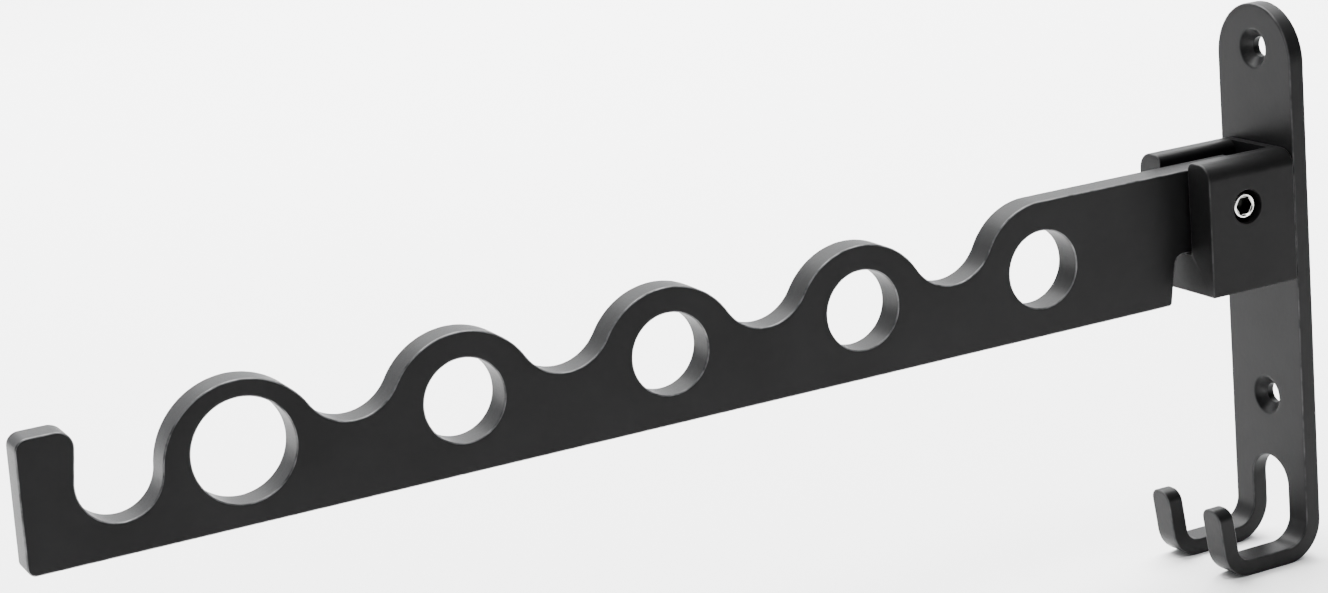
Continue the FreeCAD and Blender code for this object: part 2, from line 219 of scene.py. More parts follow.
def inset(outline, distance):
    """The outline moved into the material, with its corners mitred."""
    moved = []
    for i, p in enumerate(outline):
        before = (p - outline[i - 1]).normalized()
        after = (outline[(i + 1) % len(outline)] - p).normalized()
        out_before, out_after = flat(-before.y, before.x), flat(-after.y, after.x)
        mitre = (out_before + out_after) / (1 + out_before.dot(out_after))
        moved.append(p - mitre * distance)
    return moved


# ---- solids --------------------------------------------------------------------------------
def new_piece(name, bm):
    """A mesh object in the scene, with outward normals."""
    bmesh.ops.recalc_face_normals(bm, faces=bm.faces)
    mesh = bpy.data.meshes.new(name)
    bm.to_mesh(mesh)
    bm.free()
    piece = bpy.data.objects.new(name, mesh)
    bpy.context.scene.collection.objects.link(piece)
    return piece


def rim_profile(front, back, radius):
    """(inset, depth) pairs of a slab's edge that is rounded at both faces, front to back."""
    profile = []
    for depth, side in ((front, -1), (back, 1)):
        turn = [(radius + FLAT_RING, depth)]
        for i in range(RIM_STEPS + 1):
            angle = math.pi / 2 * i / RIM_STEPS
            distance = radius * (1 - math.sin(angle))
            turn.append((distance, depth + side * radius * (1 - math.cos(angle))))
        profile += turn if side < 0 else reversed(turn)
    return profile


def rim_wear_and_sheen(distance, radius):
    """How much rubbed wear and painted highlight a rim gets at this inset: 1 half way round its
    rounding, and 0 at both ends.
    """
    share = distance / radius
    return max(0.0, 4 * share * (1 - share)) ** 0.5


def slab(loops, place):
    """A solid between two flat faces. loops is a list of (outline, profile) pairs, and place
    turns a point of the outline's plane and a depth into a point of the frame."""
    bm = bmesh.new()
    # per vertex: how much rubbed wear and painted highlight the rim gets
    worn_and_sheen = bm.verts.layers.float.new("rim")
    fronts, backs, front_verts, back_verts = [], [], [], []
    for outline, profile in loops:
        rings = []
        for distance, depth in profile:
            ring = [bm.verts.new(Vector((p.x, p.y, depth))) for p in inset(outline, distance)]
            for v in ring:
                v[worn_and_sheen] = rim_wear_and_sheen(distance, RIM_R)
            rings.append(ring)
        for ring, below in zip(rings, rings[1:]):
            for i in range(len(ring)):
                bm.faces.new((ring[i - 1], ring[i], below[i], below[i - 1]))
        fronts.append([flat(v.co.x, v.co.y) for v in rings[0]])
        backs.append([flat(v.co.x, v.co.y) for v in rings[-1]])
        front_verts += rings[0]
        back_verts += rings[-1]
    for outlines, verts in ((fronts, front_verts), (backs, back_verts)):
        for triangle in tessellate_polygon(outlines):
            bm.faces.new([verts[i] for i in triangle])
    return place(bm)


def turned(profile, centre, axis):
    """A solid of revolution. profile lists (distance along axis, radius) from end to end."""
    bm = bmesh.new()
    across = axis.orthogonal().normalized()
    rings = []
    for along, radius in profile:
        ring = []
        for i in range(TURN_STEPS):
            turn = Matrix.Rotation(math.tau * i / TURN_STEPS, 3, axis)
            ring.append(bm.verts.new(centre + axis * along + turn @ across * radius))
        rings.append(ring)
    closed = profile[0] == profile[-1]
    if closed:
        bmesh.ops.delete(bm, geom=rings.pop(), context="VERTS")
        rings.append(rings[0])
    for ring, after in zip(rings, rings[1:]):
        for i in range(TURN_STEPS):
            bm.faces.new((ring[i - 1], ring[i], after[i], after[i - 1]))
    if not closed:
        bm.faces.new(rings[0])
        bm.faces.new(rings[-1])
    return bm


def hexagon(flats, start, end, centre, axis):
    """A hexagonal bar along axis between two distances from centre, with a flat on top."""
    bm = bmesh.new()
    across = axis.cross(Vector((0, 0, 1))).normalized() * (flats / math.sqrt(3))
    rings = []
    for along in (start, end):
        ring = []
        for i in range(6):
            turn = Matrix.Rotation(math.tau * i / 6, 3, axis)
            ring.append(bm.verts.new(centre + axis * along + turn @ across))
        rings.append(ring)
    for i in range(6):
        bm.faces.new((rings[0][i - 1], rings[0][i], rings[1][i], rings[1][i - 1]))
    bm.faces.new(rings[0])
    bm.faces.new(rings[1])
    return bm


def carve(piece, tool_meshes, operation="DIFFERENCE"):
    """Cuts the tools out of the piece, or keeps only what they share, and removes the tools."""
    tools = [new_piece("tool", bm) for bm in tool_meshes]
    for tool in tools:
        modifier = piece.modifiers.new("carve", "BOOLEAN")
        modifier.operation = operation
        modifier.solver = "EXACT"
        modifier.object = tool
    depsgraph = bpy.context.evaluated_depsgraph_get()
    mesh = bpy.data.meshes.new_from_object(piece.evaluated_get(depsgraph))
    piece.modifiers.clear()
    piece.data = mesh
    for tool in tools:
        bpy.data.objects.remove(tool)


def finish_piece(piece, body, slot, material, *nodes):
    """Shading, material and body of a piece, and the CAD nodes it stands for. slot is not used."""
    piece.data.shade_smooth()
    piece.data.set_sharp_from_angle(angle=SMOOTH_ANGLE)
    weighted = piece.modifiers.new("flat faces stay flat", "WEIGHTED_NORMAL")
    weighted.keep_sharp = True
    weighted.weight = 100
    piece.data.materials.clear()
    piece.data.materials.append(material)
    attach(piece, body)
    if nodes:
        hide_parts(*nodes)
    return piece


# ---- materials -----------------------------------------------------------------------------
# A noise scale is its number of features per metre. A bump height is in metres.
# lighter coat along the rims: partly rubbed wear, partly a painted highlight on the rounded edges
RUBBED_AND_SHEEN_COAT = (0.085, 0.085, 0.088)
# near black painted shade inside the screws' sockets and below their faces
SOCKET_SHADE_BLACK = (0.012, 0.012, 0.011)
PEEL_SCALE = 650
PEEL_HEIGHT = 0.00002
GRAIN_SCALE = 5200
GRAIN_HEIGHT = 0.000005
CUT_LINE_HEIGHT = 0.000012
CUT_LINE_ALONG = 45.0          # scale of the cutter's lines along them
CUT_LINE_ACROSS = 2600.0       # and across them


def set_range(node, low, high, to_low, to_high):
    """Sets a map-range node's two ranges."""
    node.inputs["From Min"].default_value = low
    node.inputs["From Max"].default_value = high
    node.inputs["To Min"].default_value = to_low
    node.inputs["To Max"].default_value = to_high


class Shader:
    """A material's node tree, with short calls to add to it."""

    def __init__(self, name):
        self.material = bpy.data.materials.new(name)
        self.material.use_nodes = True
        self.tree = self.material.node_tree
        self.bsdf = self.tree.nodes["Principled BSDF"]
        coordinates = self.add("ShaderNodeTexCoord")
        self.place = coordinates.outputs["Object"]
        self.facing = coordinates.outputs["Normal"]

    def add(self, kind, **values):
        node = self.tree.nodes.new(kind)
        for key, value in values.items():
            if key in node.inputs.keys():
                node.inputs[key].default_value = value
            else:
                setattr(node, key, value)
        return node

    def link(self, source, target):
        self.tree.links.new(source, target)

    def stretched(self, x, y, z):
        """The piece's own coordinates, scaled along each axis."""
        mapping = self.add("ShaderNodeMapping", Scale=(x, y, z))
        self.link(self.place, mapping.inputs["Vector"])
        return mapping.outputs["Vector"]

    def noise(self, scale, detail=3.0, place=None, roughness=0.5):
        """Noise between about 0.3 and 0.7, with features of one over scale, in metres."""
        node = self.add("ShaderNodeTexNoise", Scale=scale, Detail=detail, Roughness=roughness)
        self.link(place or self.place, node.inputs["Vector"])
        return node.outputs["Fac"]

    def ramp(self, source, low, high, to_low, to_high):
        """The source's range from low to high, carried over to another range."""
        node = self.add("ShaderNodeMapRange")
        set_range(node, low, high, to_low, to_high)
        self.link(source, node.inputs["Value"])
        return node.outputs["Result"]

    def mix(self, factor, first, second):
        """Two colours, or a colour and a linked one, mixed by factor."""
        node = self.add("ShaderNodeMix", data_type="RGBA")
        self.link(factor, node.inputs["Factor"])
        colour_in = [i for i in node.inputs if i.type == "RGBA"]
        colour_out = [o for o in node.outputs if o.type == "RGBA"]
        for socket, value in zip(colour_in, (first, second)):
            if isinstance(value, tuple):
                socket.default_value = (*value, 1)
            else:
                self.link(value, socket)
        return colour_out[0]

    def math(self, operation, first, second):
        """Two numbers, each plain or linked, put together by this operation."""
        node = self.add("ShaderNodeMath", operation=operation)
        for socket, value in zip(node.inputs, (first, second)):
            if isinstance(value, (int, float)):
                socket.default_value = value
            else:
                self.link(value, socket)
        return node.outputs[0]

    def bump(self, height, distance, below=None):
        """A bump of this height in metres, on top of an earlier one."""
        node = self.add("ShaderNodeBump", Strength=1.0, Distance=distance)
        self.link(height, node.inputs["Height"])
        if below is not None:
            self.link(below, node.inputs["Normal"])
        return node.outputs["Normal"]


def black_coat(name, dark, light, rough_low, rough_high, wear_and_sheen, cut_axis=None):
    """Satin black coating: orange peel and grain, painted lighter and made smoother along the rims,
    by wear_and_sheen: partly rubbed wear, partly a painted highlight.
    cut_axis is the direction across a cut edge, along which the cutter left faint lines."""
    s = Shader(name)
    rim = s.add("ShaderNodeAttribute", attribute_name="rim").outputs["Fac"]
    blotches = s.ramp(s.noise(45, 2), 0.3, 0.7, 0, 1)
    coat = s.mix(blotches, (dark, dark, dark * 1.04), (light, light, light * 1.04))
    patches = s.ramp(s.noise(260, 3), 0.35, 0.65, 0.25 * wear_and_sheen, wear_and_sheen)
    rubbed_and_sheen = s.math("MULTIPLY", rim, patches)
    # the rims' base colour is painted lighter: partly rubbed wear, partly a painted highlight
    s.link(s.mix(rubbed_and_sheen, coat, RUBBED_AND_SHEEN_COAT), s.bsdf.inputs["Base Color"])
    s.link(s.ramp(rubbed_and_sheen, 0, 1, 0.1, 1.0), s.bsdf.inputs["Specular IOR Level"])
    peel = s.noise(PEEL_SCALE, 2)
    grain = s.noise(GRAIN_SCALE, 2)
    satin = s.ramp(grain, 0.3, 0.7, rough_low, rough_high)
    s.link(s.math("SUBTRACT", satin, s.ramp(rubbed_and_sheen, 0, 1, 0, 0.1)), s.bsdf.inputs["Roughness"])
    bumped = s.bump(grain, GRAIN_HEIGHT, s.bump(peel, PEEL_HEIGHT))
    if cut_axis is not None:
        fine = [CUT_LINE_ACROSS] * 3
        fine[cut_axis] = CUT_LINE_ALONG
        axes = s.add("ShaderNodeSeparateXYZ")
        s.link(s.facing, axes.inputs["Vector"])
        sideways = s.math("ABSOLUTE", axes.outputs[cut_axis], 0)
        lines = s.noise(1, 2, s.stretched(*fine))
        on_cut = s.math("MULTIPLY", lines, s.ramp(sideways, 0, 0.5, 1, 0))
        bumped = s.bump(on_cut, CUT_LINE_HEIGHT, bumped)
    s.link(bumped, s.bsdf.inputs["Normal"])
    return s.material


def steel(name, tint, rough_low, rough_high, shaded_below=None):
    """Plain steel. shaded_below is an axis and a place on it, below which the steel is painted near
    black, as painted shade inside a socket."""
    s = Shader(name)
    s.bsdf.inputs["Metallic"].default_value = 1.0
    tone = s.ramp(s.noise(900, 3), 0.3, 0.7, 0, 1)
    dark = tuple(c * 0.82 for c in tint)
    colour = s.mix(tone, dark, tint)
    if shaded_below is not None:
        axis, edge = shaded_below
        axes = s.add("ShaderNodeSeparateXYZ")
        s.link(s.place, axes.inputs["Vector"])
        # painted shade: below the face the steel is painted near black
        socket_shade = s.ramp(axes.outputs[axis], edge - 2 * BREAK, edge, 1, 0)
        colour = s.mix(socket_shade, colour, SOCKET_SHADE_BLACK)
    s.link(colour, s.bsdf.inputs["Base Color"])
    s.link(s.ramp(s.noise(3000, 3), 0.3, 0.7, rough_low, rough_high), s.bsdf.inputs["Roughness"])
    s.link(s.bump(s.noise(4000, 3), 0.000004), s.bsdf.inputs["Normal"])
    return s.material


def nylon():
    """Matte black nylon."""
    s = Shader("black_nylon")
    tone = s.ramp(s.noise(1200, 2), 0.3, 0.7, 0, 1)
    s.link(s.mix(tone, (0.028, 0.028, 0.03), (0.042, 0.042, 0.044)), s.bsdf.inputs["Base Color"])
    s.link(s.ramp(s.noise(4000, 2), 0.3, 0.7, 0.5, 0.62), s.bsdf.inputs["Roughness"])
    s.link(s.bump(s.noise(3500, 2), 0.00001), s.bsdf.inputs["Normal"])
    return s.material


def floor_paint():
    """Matte pale paint."""
    s = Shader("floor_paint")
    tone = s.ramp(s.noise(3, 2), 0.3, 0.7, 0, 1)
    s.link(s.mix(tone, (0.86, 0.86, 0.86), (0.88, 0.88, 0.88)), s.bsdf.inputs["Base Color"])
    s.link(s.ramp(s.noise(60, 2), 0.3, 0.7, 0.75, 0.85), s.bsdf.inputs["Roughness"])
    return s.material


# the last number sets how strongly the rims get rubbed wear and a painted highlight
ARM_COAT = black_coat("arm_coat", 0.0040, 0.0065, 0.36, 0.46, 0.9, cut_axis=0)
PLATE_COAT = black_coat("plate_coat", 0.0040, 0.0065, 0.34, 0.44, 0.25)
BRACKET_COAT = black_coat("bracket_coat", 0.0030, 0.0050, 0.40, 0.50, 0.2)
# the hinge screw and the bracket screws get painted shade in their sockets, below their faces
BRIGHT_STEEL = steel("bright_steel", (0.80, 0.79, 0.77), 0.18, 0.28, (0, screw_high.x - BREAK))
ZINC_STEEL = steel("zinc_steel", (0.52, 0.53, 0.55), 0.30, 0.42)
HEAD_STEEL = steel("head_steel", (0.46, 0.47, 0.49), 0.32, 0.44, (1, backs_high.y - BREAK))
NYLON = nylon()


# ---- arm -----------------------------------------------------------------------------------
def scallops():
    """The upper edge from the first hole's crown round the floor of the notch at the tip."""
    half = hole_pitch / 2
    bump_z = BUMP_TOP_Z - BUMP_R
    drop = NOTCH_FLOOR_Z - bump_z
    notch_r = (drop ** 2 + half ** 2 - BUMP_R ** 2) / (2 * (BUMP_R - drop))
    notch_z = NOTCH_FLOOR_Z + notch_r
    root_top = arm_high.z
    below = notch_z - root_top
    root_r = (half ** 2 + below ** 2 - notch_r ** 2) / (2 * (notch_r - below))
    circles = [(flat(hole_reaches[0], root_top - root_r), root_r)]
    for reach in hole_reaches[1:]:
        circles.append((flat(reach - half, notch_z), notch_r))
        circles.append((flat(reach, bump_z), BUMP_R))
    end_notch = flat(hole_reaches[-1] + END_NOTCH_OFFSET, hole_z)
    circles.append((end_notch, (end_notch - circles[-1][0]).length - BUMP_R))

    points = []
    here = flat(hole_reaches[0], root_top)
    for i, ((centre, radius), (after, after_r)) in enumerate(zip(circles, circles[1:])):
        there = centre + (after - centre) * (radius / (radius + after_r))
        points += arc_between(centre, here, there, clockwise=i % 2 == 0)
        here = there
    lip = end_notch + flat(math.cos(LIP_LEAN), math.sin(LIP_LEAN)) * circles[-1][1]
    points += arc_between(end_notch, here, lip, clockwise=False)
    return points, lip


def arm_outline():
    """The arm's side outline, over the top towards the tip and back along the bottom."""
    points, lip = scallops()
    reach_end, bottom = -arm_low.y, arm_low.z
    lip_top = lip + flat(-math.tan(LIP_LEAN), 1) * (POST_TOP_Z - lip.y)
    tip_top = flat(reach_end - math.tan(END_LEAN) * (POST_TOP_Z - bottom), POST_TOP_Z)
    axis = flat(-pivot.y, pivot.z)
    tenon_foot = axis + flat(0, -TENON_R)
    points += rounded([
        (lip, 0),
        (lip_top, POST_INNER_CORNER_R),
        (tip_top, POST_OUTER_CORNER_R),
        (flat(reach_end, bottom), END_FOOT_CORNER_R),
        (flat(STEP_FOOT_REACH, bottom), STEP_FOOT_CORNER_R),
        (flat(STEP_HEAD_REACH, tenon_foot.y), STEP_HEAD_CORNER_R),
        (tenon_foot, 0),
    ])
    rise = arm_high.z - pivot.z
    tenon_top = axis + flat(-math.sqrt(TENON_R ** 2 - rise ** 2), rise)
    points += arc_between(axis, tenon_foot, tenon_top, clockwise=True)
    return tidy(points)


def swing_arm():
    """The flat arm with its five holes and its hinge bore."""
    def stand(bm):
        """Outline's plane to frame: reach runs along -Y, and depth along X."""
        for v in bm.verts:
            v.co = Vector((v.co.z, -v.co.x, v.co.y))
        return bm

    rim = rim_profile(arm_half, -arm_half, RIM_R)
    loops = [(arm_outline(), rim)]
    for reach in hole_reaches:
        radius = END_HOLE_R if reach == hole_reaches[-1] else HOLE_R
        loops.append((circle(flat(reach, hole_z), radius), rim))
    bore = circle(flat(-pivot.y, pivot.z), PIN_BORE_R)
    loops.append((bore, rim_profile(arm_half, -arm_half, BREAK)))
    arm = new_piece("arm_blade", slab(loops, stand))
    return finish_piece(arm, "arm", "black_coat", ARM_COAT, "swing_arm")


# ---- back plate ----------------------------------------------------------------------------
def bend_path():
    """The strip's outer face as (length, turn) stretches, from the top of the plate down round
    the hook to the tips. turn is the angle of a bend, or 0."""
    half_angle = (math.pi / 2 + TIP_LEAN) / 2
    toe_turn = math.pi / 2 - TIP_LEAN
    toe_tangent = TOE_R / math.tan(half_angle)
    bottom = plate_low.z
    down = plate_high.z - (bottom + HEEL_R)
    floor = TOE_REACH - HEEL_R - toe_tangent
    rise = (TIP_TOP_Z - bottom) / math.cos(TIP_LEAN) - toe_tangent
    heel_turn = math.pi / 2
    heel = (HEEL_R * heel_turn, heel_turn)
    toe = (TOE_R * toe_turn, toe_turn)
    return [(down, 0), heel, (floor, 0), toe, (rise, 0)]


def bent(along, depth, path):
    """Reach and height of a point this far along the strip, and this deep from its outer face."""
    here = flat(0, plate_high.z)
    heading = -math.pi / 2
    last = len(path) - 1
    for i, (length, turn) in enumerate(path):
        inward = flat(-math.sin(heading), math.cos(heading))
        if along <= length or i == last:
            if i == last:
                # the tips are cut level, so their inner face is a little shorter
                along -= depth * math.tan(TIP_LEAN) * along / length
            if turn == 0:
                return here + flat(math.cos(heading), math.sin(heading)) * along + inward * depth
            radius = length / turn
            angle = heading + turn * along / length
            out = flat(math.sin(angle), -math.cos(angle))
            return here + inward * radius + out * (radius - depth)
        if turn == 0:
            here = here + flat(math.cos(heading), math.sin(heading)) * length
        else:
            radius = length / turn
            out = flat(math.sin(heading + turn), -math.cos(heading + turn))
            here = here + inward * radius + out * radius
            heading += turn
        along -= length


def back_plate():
    """The strip is drawn flat, cut across at every step of its bends, and then bent."""
    path = bend_path()
    total = sum(length for length, _ in path)
    top = flat(0, -plate_half)
    slot_centre = flat(0, -(plate_high.z - PRONG_SLOT_TOP_Z + PRONG_SLOT_R))
    left, right, near, far = -plate_half, plate_half, -PRONG_SLOT_R, PRONG_SLOT_R
    outline = arc(top, plate_half, math.pi, -math.pi)
    outline += rounded([
        (flat(right, top.y), 0),
        (flat(right, -total), TIP_CORNER_R),
        (flat(far, -total), TIP_CORNER_R),
        (flat(far, slot_centre.y), 0),
    ])
    outline += arc(slot_centre, PRONG_SLOT_R, 0, math.pi)
    outline += rounded([
        (flat(near, slot_centre.y), 0),
        (flat(near, -total), TIP_CORNER_R),
        (flat(left, -total), TIP_CORNER_R),
        (flat(left, top.y), 0),
    ])

    loops = [(tidy(outline), rim_profile(PLATE_THICK, 0, RIM_R))]
    sink = WALL_SINK_R - WALL_HOLE_R
    for z in (WALL_HOLE_Z, -WALL_HOLE_Z):
        profile = [
            (sink + BREAK + FLAT_RING, PLATE_THICK),
            (sink + BREAK, PLATE_THICK),
            (sink + BREAK / 3, PLATE_THICK - BREAK / 3),
            (sink - BREAK, PLATE_THICK - BREAK * 1.2),
            (BREAK / 2, PLATE_THICK - sink),
            (0, PLATE_THICK - sink - BREAK / 2),
            (0, BREAK),
            (BREAK, 0),
            (BREAK + FLAT_RING, 0),
        ]
        loops.append((circle(flat(0, z - plate_high.z), WALL_HOLE_R), profile))
    back_sink = BACK_SINK_R - BACK_HOLE_R
    for x in (-back_screw_x, back_screw_x):
        for z in back_screw_zs:
            profile = [
                (FLAT_RING, PLATE_THICK),
                (0, PLATE_THICK),
                (0, back_sink),
                (back_sink, 0),
                (back_sink + FLAT_RING, 0),
            ]
            loops.append((circle(flat(x, z - plate_high.z), BACK_HOLE_R), profile))

    def bend(bm):
        start = 0
        for length, turn in path:
            steps = math.ceil(turn / ARC_STEP)
            for i in range(steps + 1 if turn else 0):
                cut = Vector((0, -(start + length * i / steps), 0))
                bmesh.ops.bisect_plane(bm, geom=bm.verts[:] + bm.edges[:] + bm.faces[:],
                                       dist=ON_CUT, plane_co=cut, plane_no=Vector((0, 1, 0)))
            start += length
        for v in bm.verts:
            place = bent(-v.co.y, v.co.z, path)
            v.co = Vector((v.co.x, -place.x, place.y))
        return bm

    plate = new_piece("hook_plate", slab(loops, bend))
    return finish_piece(plate, "wall_plate", "black_coat", PLATE_COAT, "back_plate")


# ---- bracket -------------------------------------------------------------------------------
def bracket_block():
    """The clevis as one skin: the two cheeks in front of the slot's rear wall share their outer
    outline with the solid part behind it."""
    top, bottom = bracket_high.z, bracket_low.z
    lip = SLOT_HALF + CHEEK_INNER_R
    shell = rounded([
        (flat(lip, top), 0),
        (flat(plate_half, top), SHOULDER_R),
        (flat(plate_half, bottom), FOOT_CORNER_R),
        (flat(-plate_half, bottom), FOOT_CORNER_R),
        (flat(-plate_half, top), SHOULDER_R),
        (flat(-lip, top), 0),
    ])
    inner_z = top - CHEEK_INNER_R
    slot = arc(flat(-lip, inner_z), CHEEK_INNER_R, math.pi / 2, -math.pi / 2)
    slot += rounded([
        (slot.pop(), 0),
        (flat(-SLOT_HALF, SLOT_FLOOR_Z), RIM_R),
        (flat(SLOT_HALF, SLOT_FLOOR_Z), RIM_R),
        (flat(SLOT_HALF, inner_z), 0),
    ])
    slot += arc(flat(lip, inner_z), CHEEK_INNER_R, math.pi, -math.pi / 2)[1:]
    cheeks = shell + slot[1:-1]
    front, back = -bracket_low.y, -bracket_high.y
    rim = [pair for pair in rim_profile(front, back, RIM_R) if pair[0] <= RIM_R]
    half = len(rim) // 2

    bm = bmesh.new()

    def add_ring(outline, distance, depth):
        return [bm.verts.new(Vector((p.x, -depth, p.y))) for p in inset(outline, distance)]

    fronts = [add_ring(cheeks, *pair) for pair in rim[:half]]
    fronts.append(add_ring(cheeks, 0, SLOT_REAR_REACH))
    backs = [fronts[-1][:len(shell)]]
    backs += [add_ring(shell, *pair) for pair in rim[half:]]
    for rings in (fronts, backs):
        for ring, below in zip(rings, rings[1:]):
            for i in range(len(ring)):
                bm.faces.new((ring[i - 1], ring[i], below[i], below[i - 1]))
    rear_wall = fronts[-1][len(shell) - 1:] + fronts[-1][:1]
    for verts in (fronts[0], rear_wall, backs[-1]):
        for triangle in tessellate_polygon([[flat(v.co.x, v.co.z) for v in verts]]):
            bm.faces.new([verts[i] for i in triangle])
    return bm


def flared_hole(radius, floor_x, face_x):
    """Profile of a cutter for a hole from floor_x out through face_x, with a broken edge."""
    out = 1 if face_x > floor_x else -1
    flare = BREAK * 1.5
    return [
        (floor_x, radius),
        (face_x - out * flare, radius),
        (face_x - out * BREAK / 2, radius + BREAK / 2),
        (face_x, radius + flare),
        (face_x + out * CLEAR, radius + flare + CLEAR),
    ]


def hinge_bracket():
    """The block with its hinge bore, the screw head's recess and the nut's pocket."""
    bracket = new_piece("clevis_bracket", bracket_block())
    past_left, past_right = -plate_half - CLEAR, plate_half + CLEAR
    head_floor = screw_high.x - SCREW_HEAD_LENGTH
    bore = turned([(past_left, PIN_BORE_R), (past_right, PIN_BORE_R)], hinge_centre, HINGE_AXIS)
    recess = turned(flared_hole(HEAD_HOLE_R, head_floor, plate_half), hinge_centre, HINGE_AXIS)
    pocket = hexagon(NUT_POCKET_FLATS, past_left, nut_high.x, hinge_centre, HINGE_AXIS)
    carve(bracket, [bore, recess, pocket])
    # how much rubbed wear and painted highlight each vertex of the rims gets
    worn_and_sheen = bracket.data.attributes.new("rim", "FLOAT", "POINT")
    for v, wear_and_sheen in zip(bracket.data.vertices, worn_and_sheen.data):
        depth = min(v.co.y - bracket_low.y, bracket_high.y - v.co.y, RIM_R)
        turn = math.acos(max(-1.0, 1 - depth / RIM_R))
        wear_and_sheen.value = rim_wear_and_sheen(RIM_R * (1 - math.sin(turn)), RIM_R)
    return finish_piece(bracket, "wall_plate", "black_coat", BRACKET_COAT, "hinge_bracket")


# ---- fasteners -----------------------------------------------------------------------------
def hinge_screw():
    """Socket-head screw: the shank is the arm's hinge pin."""
    face, end = screw_high.x, screw_low.x
    root = face - SCREW_HEAD_LENGTH
    profile = [
        (end, SCREW_END_R),
        (end + 4 * BREAK, PIN_R),
        (root - BREAK, PIN_R),
        (root - BREAK / 4, PIN_R + BREAK),
        (root, PIN_R + 2 * BREAK),
        (root, SCREW_HEAD_R - BREAK),
        (root + BREAK, SCREW_HEAD_R),
    ]
    for i in range(RIM_STEPS + 1):
        angle = math.pi / 2 * i / RIM_STEPS
        along = face - SCREW_HEAD_SOFT_R * (1 - math.sin(angle))
        profile.append((along, SCREW_HEAD_R - SCREW_HEAD_SOFT_R * (1 - math.cos(angle))))
    screw = new_piece("hinge_pin_screw", turned(profile, hinge_centre, HINGE_AXIS))
    floor_x = face - SOCKET_DEPTH
    bevel_r = SOCKET_FLATS / math.sqrt(3) - BREAK
    drill_r = SOCKET_FLATS / 2 - BREAK
    mouth = [(face - SOCKET_BEVEL, bevel_r), (face + CLEAR, bevel_r + SOCKET_BEVEL + CLEAR)]
    drill = [
        (floor_x - DRILL_CONE, DRILL_TIP_R),
        (floor_x, drill_r),
        (face - SOCKET_DEPTH / 2, drill_r),
    ]
    socket = hexagon(SOCKET_FLATS, floor_x, face + CLEAR, hinge_centre, HINGE_AXIS)
    mouth_cut = turned(mouth, hinge_centre, HINGE_AXIS)
    drill_cut = turned(drill, hinge_centre, HINGE_AXIS)
    carve(screw, [socket, mouth_cut, drill_cut])
    return finish_piece(screw, "wall_plate", "bright_steel", BRIGHT_STEEL, "hinge_screw")


def hinge_nut():
    """Lock nut: a hexagon with its corners turned off, and a nylon collar at its outer face."""
    corner = NUT_FLATS / math.sqrt(3)
    slope = NUT_CHAMFER * 0.6
    outer, inner = nut_low.x, nut_high.x
    nut = new_piece("lock_nut", hexagon(NUT_FLATS, outer, inner, hinge_centre, HINGE_AXIS))
    barrel = [
        (outer, corner - NUT_CHAMFER),
        (outer + slope, corner),
        (inner - slope, corner),
        (inner, corner - NUT_CHAMFER),
    ]
    carve(nut, [turned(barrel, hinge_centre, HINGE_AXIS)], "INTERSECT")
    hole_r = PIN_R + THREAD_GAP
    seat = outer + NUT_COLLAR_DEPTH
    bore = [
        (outer - CLEAR, NUT_COLLAR_R),
        (seat, NUT_COLLAR_R),
        (seat, hole_r),
        (inner + CLEAR, hole_r),
    ]
    carve(nut, [turned(bore, hinge_centre, HINGE_AXIS)])
    finish_piece(nut, "wall_plate", "zinc_steel", ZINC_STEEL, "hinge_nut")
    collar = [
        (outer + BREAK, NUT_COLLAR_R),
        (outer, NUT_COLLAR_R - BREAK),
        (outer, hole_r + 2 * BREAK),
        (outer + 2 * BREAK, hole_r),
        (seat, hole_r),
        (seat, NUT_COLLAR_R),
        (outer + BREAK, NUT_COLLAR_R),
    ]
    ring = new_piece("lock_nut_collar", turned(collar, hinge_centre, HINGE_AXIS))
    return finish_piece(ring, "wall_plate", "black_nylon", NYLON)


def thrust_washers():
    """The two plain rings between the arm and the cheeks."""
    for side in ("right", "left"):
        low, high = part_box("washer_" + side)
        ring = [
            (low.x, PIN_BORE_R),
            (low.x, WASHER_R - BREAK),
            (low.x + BREAK, WASHER_R),
            (high.x - BREAK, WASHER_R),
            (high.x, WASHER_R - BREAK),
            (high.x, PIN_BORE_R),
            (low.x, PIN_BORE_R),
        ]
        washer = new_piece("thrust_washer_" + side, turned(ring, hinge_centre, HINGE_AXIS))
        finish_piece(washer, "wall_plate", "black_nylon", NYLON, "washer_" + side)


def bracket_screws():
    """The countersunk screws whose heads lie in the wall face of the plate."""
    axis = Vector((0, -1, 0))
    start, end = -backs_high.y, -backs_low.y
    corner = BACK_SOCKET_FLATS / math.sqrt(3)
    profile = [
        (start, BACK_HEAD_R - BREAK),
        (start + BREAK, BACK_HEAD_R - BREAK / 2),
        (start + BACK_HEAD_R - BACK_SCREW_R, BACK_SCREW_R),
        (end - 2 * BREAK, BACK_SCREW_R),
        (end, BACK_SCREW_R - 2 * BREAK),
    ]
    mouth = [(start - CLEAR, corner + CLEAR), (start + BREAK, corner - BREAK)]
    places = [(x, z) for x in (-back_screw_x, back_screw_x) for z in back_screw_zs]
    for number, (x, z) in enumerate(places, 1):
        centre = Vector((x, 0, z))
        screw = new_piece(f"bracket_screw_{number}", turned(profile, centre, axis))
        socket = hexagon(BACK_SOCKET_FLATS, start - CLEAR, start + BACK_SOCKET_DEPTH, centre, axis)
        carve(screw, [socket, turned(mouth, centre, axis)])
        finish_piece(screw, "wall_plate", "zinc_steel", HEAD_STEEL, "bracket_screws")


# ---- stage, light and camera ---------------------------------------------------------------
FLOOR_SIZE = 14.0
CAMERA_PLACE = Vector((0.5879, -0.4665, 0.1808))
CAMERA_HEADING = math.radians(154.316)     # of the line of sight, counted from +X towards +Y
CAMERA_DIP = math.radians(14.221)
CAMERA_ROLL = math.radians(-5.489)
FOCAL_SHARE = 2.10373                      # focal length over the sensor's width
SENSOR_WIDTH = 36.0


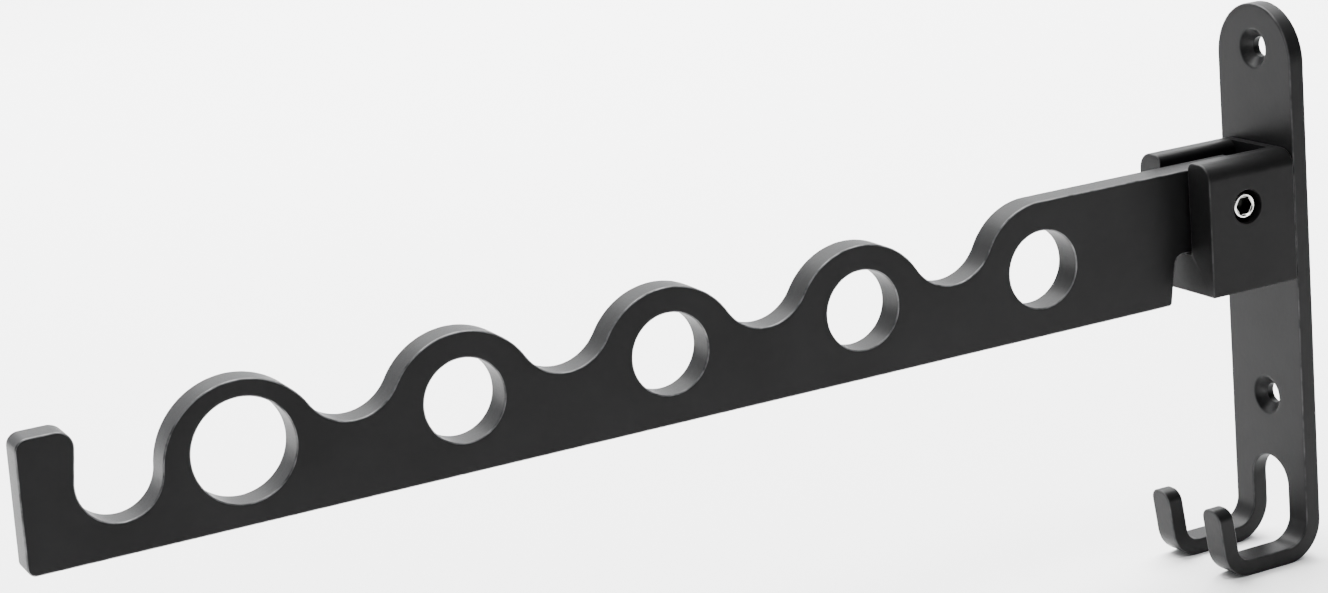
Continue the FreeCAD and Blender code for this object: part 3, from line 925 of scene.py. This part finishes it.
def floor():
    """A wide pale floor at the height of the hook's underside."""
    bm = bmesh.new()
    bmesh.ops.create_grid(bm, x_segments=40, y_segments=40, size=FLOOR_SIZE / 2)
    for v in bm.verts:
        v.co.z = plate_low.z
    ground = new_piece("floor", bm)
    ground.data.materials.append(floor_paint())


def camera():
    """The camera at the photograph's angle."""
    data = bpy.data.cameras.new("camera")
    data.sensor_width = SENSOR_WIDTH
    data.lens = SENSOR_WIDTH * FOCAL_SHARE
    data.clip_start = 0.01
    ahead = Vector((math.cos(CAMERA_HEADING) * math.cos(CAMERA_DIP),
                    math.sin(CAMERA_HEADING) * math.cos(CAMERA_DIP), -math.sin(CAMERA_DIP)))
    level_right = ahead.cross(Vector((0, 0, 1))).normalized()
    level_up = level_right.cross(ahead)
    right = level_right * math.cos(CAMERA_ROLL) + level_up * math.sin(CAMERA_ROLL)
    up = right.cross(ahead)
    turn = Matrix((right, up, -ahead)).transposed().to_4x4()
    cam = bpy.data.objects.new("camera", data)
    cam.matrix_world = Matrix.Translation(CAMERA_PLACE) @ turn
    bpy.context.scene.collection.objects.link(cam)
    bpy.context.scene.camera = cam


def softbox(name, place, aim, width, height, power, spread=180):
    """A rectangular area light. power is in watts, and spread in degrees."""
    data = bpy.data.lights.new(name, "AREA")
    data.shape = "RECTANGLE"
    data.size, data.size_y = width, height
    data.energy = power
    data.spread = math.radians(spread)
    lamp = bpy.data.objects.new(name, data)
    lamp.location = place
    lamp.rotation_mode = "QUATERNION"
    lamp.rotation_quaternion = (Vector(aim) - Vector(place)).to_track_quat("-Z", "Y")
    bpy.context.scene.collection.objects.link(lamp)


WALL_GLOW = 2.1                            # brightness of the studio's left wall
WALL_DIM = 0.05                            # and of its right wall
GLOW_ENDS = -0.95                          # X of the direction in which the glow begins to fade
DIM_STARTS = 0.0                           # and of the one from which the wall is dim


def lighting():
    """A pale studio: walls that glow on the left and are dim on the right, a large softbox
    overhead, two wide panels on the left, and a long strip above that lights the rims."""
    world = bpy.data.worlds.new("studio")
    world.use_nodes = True
    nodes, links = world.node_tree.nodes, world.node_tree.links
    background = nodes["Background"]
    background.inputs["Color"].default_value = (0.97, 0.98, 1.0, 1)
    direction = nodes.new("ShaderNodeTexCoord")
    axes = nodes.new("ShaderNodeSeparateXYZ")
    fade = nodes.new("ShaderNodeMapRange")
    fade.interpolation_type = "SMOOTHSTEP"
    set_range(fade, GLOW_ENDS, DIM_STARTS, WALL_GLOW, WALL_DIM)
    links.new(direction.outputs["Generated"], axes.inputs["Vector"])
    links.new(axes.outputs["X"], fade.inputs["Value"])
    links.new(fade.outputs["Result"], background.inputs["Strength"])
    bpy.context.scene.world = world
    softbox("overhead", place=(-1.2, 0.3, 1.7), aim=(-1.0, 0.25, -0.1),
            width=2.2, height=2.4, power=165, spread=110)
    softbox("back_left", place=(-1.9, 1.0, 0.55), aim=(0, -0.1, 0),
            width=2.4, height=1.0, power=10)
    softbox("front_left", place=(-1.7, -0.7, 0.95), aim=(0, -0.15, 0),
            width=1.6, height=1.0, power=5)
    softbox("top_strip", place=(0.65, -0.25, 1.5), aim=(0, -0.17, 0),
            width=1.9, height=0.5, power=26)


swing_arm()
back_plate()
hinge_bracket()
hinge_screw()
hinge_nut()
thrust_washers()
bracket_screws()
floor()
lighting()
camera()
